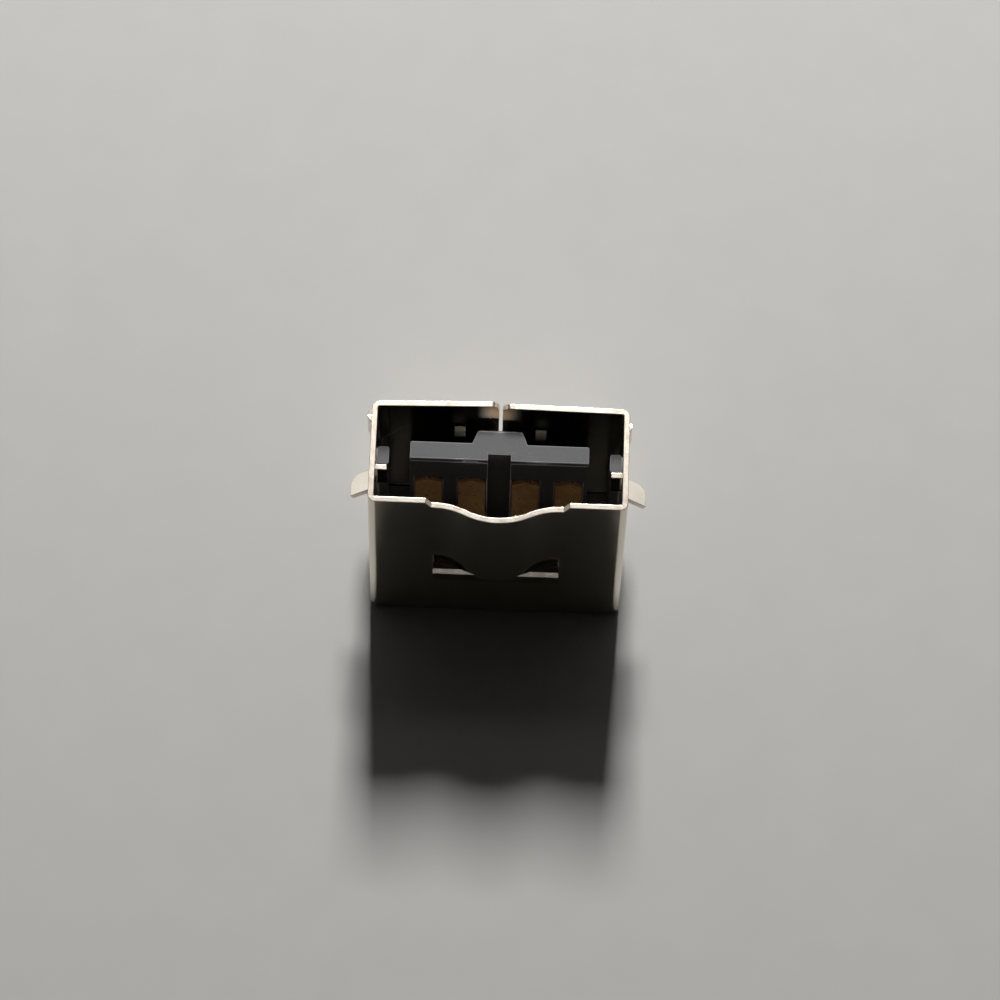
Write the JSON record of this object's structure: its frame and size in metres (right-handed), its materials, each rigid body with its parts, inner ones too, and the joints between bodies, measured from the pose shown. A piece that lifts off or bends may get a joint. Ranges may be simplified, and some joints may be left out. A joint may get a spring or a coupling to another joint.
{
  "type": "dc power socket",
  "caption": "Upright rectangular power socket: a folded plated-metal shell with a keyed bulge and board legs round a black moulded tongue with gilt sprung contacts.",
  "frame": {"origin": "middle of the rear end, between the side walls and between the keyed wall and the seam wall", "axes": "+Z from the rear end to the mouth, +X to the right seen from the keyed wall, +Y from the keyed wall to the seam wall that lies on the board"},
  "size_m": [0.0152, 0.0092, 0.0124],
  "materials": {
    "shell": "bright nickel plate on folded sheet, with bare punched edges",
    "housing": "black glass-filled moulding, matt",
    "contact": "gold flash on copper alloy strip"
  },
  "bodies": {
    "root": {"shell": "shell", "housing": "housing", "outer_left_contact": "contact", "inner_left_contact": "contact", "inner_right_contact": "contact", "outer_right_contact": "contact"}
  },
  "joints": []
}
